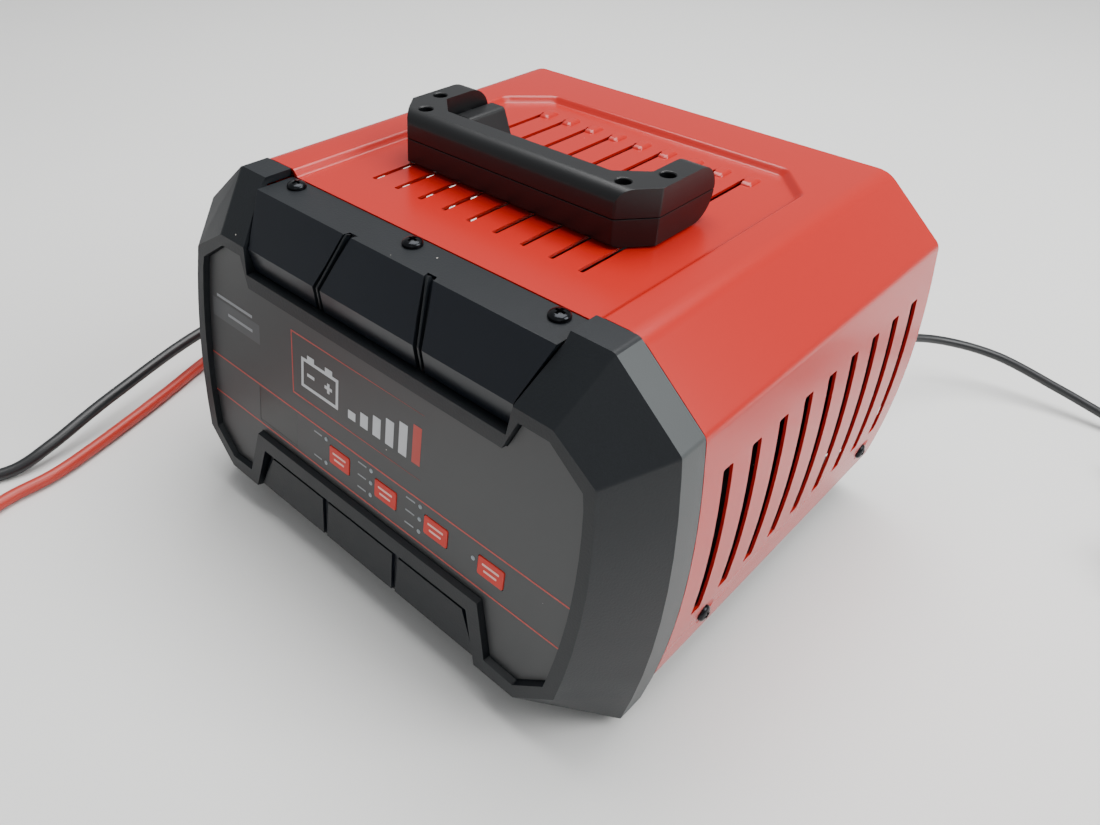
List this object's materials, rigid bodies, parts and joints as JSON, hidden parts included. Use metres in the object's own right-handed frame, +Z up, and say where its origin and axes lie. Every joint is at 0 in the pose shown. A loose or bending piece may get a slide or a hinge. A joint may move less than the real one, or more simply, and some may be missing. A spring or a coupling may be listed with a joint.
{
  "type": "car battery charger",
  "caption": "Portable car battery charger: folded red sheet cover on a tray, dark moulded front with keys and lights, folding carry handle, vents, clamp leads and a mains cord.",
  "frame": {"origin": "middle of the housing's footprint at the underside of the feet, leads and cord left out", "axes": "+X to the right as the front is faced, +Y from the front to the back, +Z up"},
  "size_m": [0.611, 0.6512, 0.1885],
  "materials": {
    "red_paint": "gloss",
    "black_plastic": "fine matte grain",
    "grey_fascia": "satin",
    "smoked_window": "gloss",
    "red_button": "satin",
    "clear_guide": "gloss",
    "black_screw": "black oxide",
    "steel": "satin",
    "rubber": "matte",
    "board": "satin",
    "core": "varnish",
    "aluminium": "satin",
    "black_cable": "satin",
    "red_cable": "satin"
  },
  "bodies": {
    "housing": {"base_tray": "black_plastic", "clamp_black_lower": "black_cable", "clamp_black_pin": "steel", "clamp_red_lower": "red_cable", "clamp_red_pin": "steel", "control_board": "board", "cover_shell": "red_paint", "display_window": "smoked_window", "fan_frame": "black_plastic", "fascia_panel": "grey_fascia", "foot_1": "rubber", "foot_2": "rubber", "foot_3": "rubber", "foot_4": "rubber", "front_bezel": "black_plastic", "handle_axle_left": "steel", "handle_axle_right": "steel", "heat_sink": "aluminium", "lead_black_coil": "black_cable", "lead_black_run": "black_cable", "lead_gland_black": "rubber", "lead_gland_red": "rubber", "lead_red_coil": "red_cable", "lead_red_run": "red_cable", "led_guide_1": "clear_guide", "led_guide_2": "clear_guide", "led_guide_3": "clear_guide", "led_guide_4": "clear_guide", "lower_trim": "black_plastic", "mains_coil": "black_cable", "mains_gland": "rubber", "mains_plug": "rubber", "mains_run": "black_cable", "pivot_bracket_left": "black_plastic", "pivot_bracket_right": "black_plastic", "power_board": "board", "rear_panel": "black_plastic", "side_screw_1": "black_screw", "side_screw_2": "black_screw", "side_screw_3": "black_screw", "side_screw_4": "black_screw", "transformer": "core", "trim_screw_1": "black_screw", "trim_screw_2": "black_screw", "trim_screw_3": "black_screw", "upper_trim": "black_plastic"},
    "handle": {"handle_lower": "black_plastic", "handle_upper": "black_plastic", "handle_screw_1": "black_screw", "handle_screw_2": "black_screw", "handle_screw_3": "black_screw", "handle_screw_4": "black_screw"},
    "fan": {"fan_rotor": "black_plastic"},
    "black_clamp_jaw": {"clamp_black_upper": "black_cable"},
    "red_clamp_jaw": {"clamp_red_upper": "red_cable"},
    "key_1": {"button_1": "red_button"},
    "key_2": {"button_2": "red_button"},
    "key_3": {"button_3": "red_button"},
    "key_4": {"button_4": "red_button"}
  },
  "joints": [
    {"name": "handle_fold", "type": "hinge", "parent": "housing", "child": "handle", "pos_m": [0, 0.01245, 0.17665], "axis": [-1, 0, 0], "range_deg": [0, 90]},
    {"name": "fan_spin", "type": "hinge", "parent": "housing", "child": "fan", "pos_m": [0, 0.09825, 0.105], "axis": [0, 1, 0], "continuous": true},
    {"name": "black_clamp_open", "type": "hinge", "parent": "housing", "child": "black_clamp_jaw", "pos_m": [-0.27822, -0.32573, 0.0173], "axis": [-0.9848, 0.1736, 0], "range_deg": [0, 30], "stiffness_Nm_per_rad": 0.8, "springref_deg": -28.65},
    {"name": "red_clamp_open", "type": "hinge", "parent": "housing", "child": "red_clamp_jaw", "pos_m": [-0.10645, -0.35679, 0.0173], "axis": [-0.6428, -0.766, 0], "range_deg": [0, 30], "stiffness_Nm_per_rad": 0.8, "springref_deg": -28.65},
    {"name": "key_1_press", "type": "slide", "parent": "housing", "child": "key_1", "axis": [0, 1, 0], "range_m": [0, 0.0008], "stiffness_N_per_m": 1800},
    {"name": "key_2_press", "type": "slide", "parent": "housing", "child": "key_2", "axis": [0, 1, 0], "range_m": [0, 0.0008], "stiffness_N_per_m": 1800},
    {"name": "key_3_press", "type": "slide", "parent": "housing", "child": "key_3", "axis": [0, 1, 0], "range_m": [0, 0.0008], "stiffness_N_per_m": 1800},
    {"name": "key_4_press", "type": "slide", "parent": "housing", "child": "key_4", "axis": [0, 1, 0], "range_m": [0, 0.0008], "stiffness_N_per_m": 1800}
  ]
}
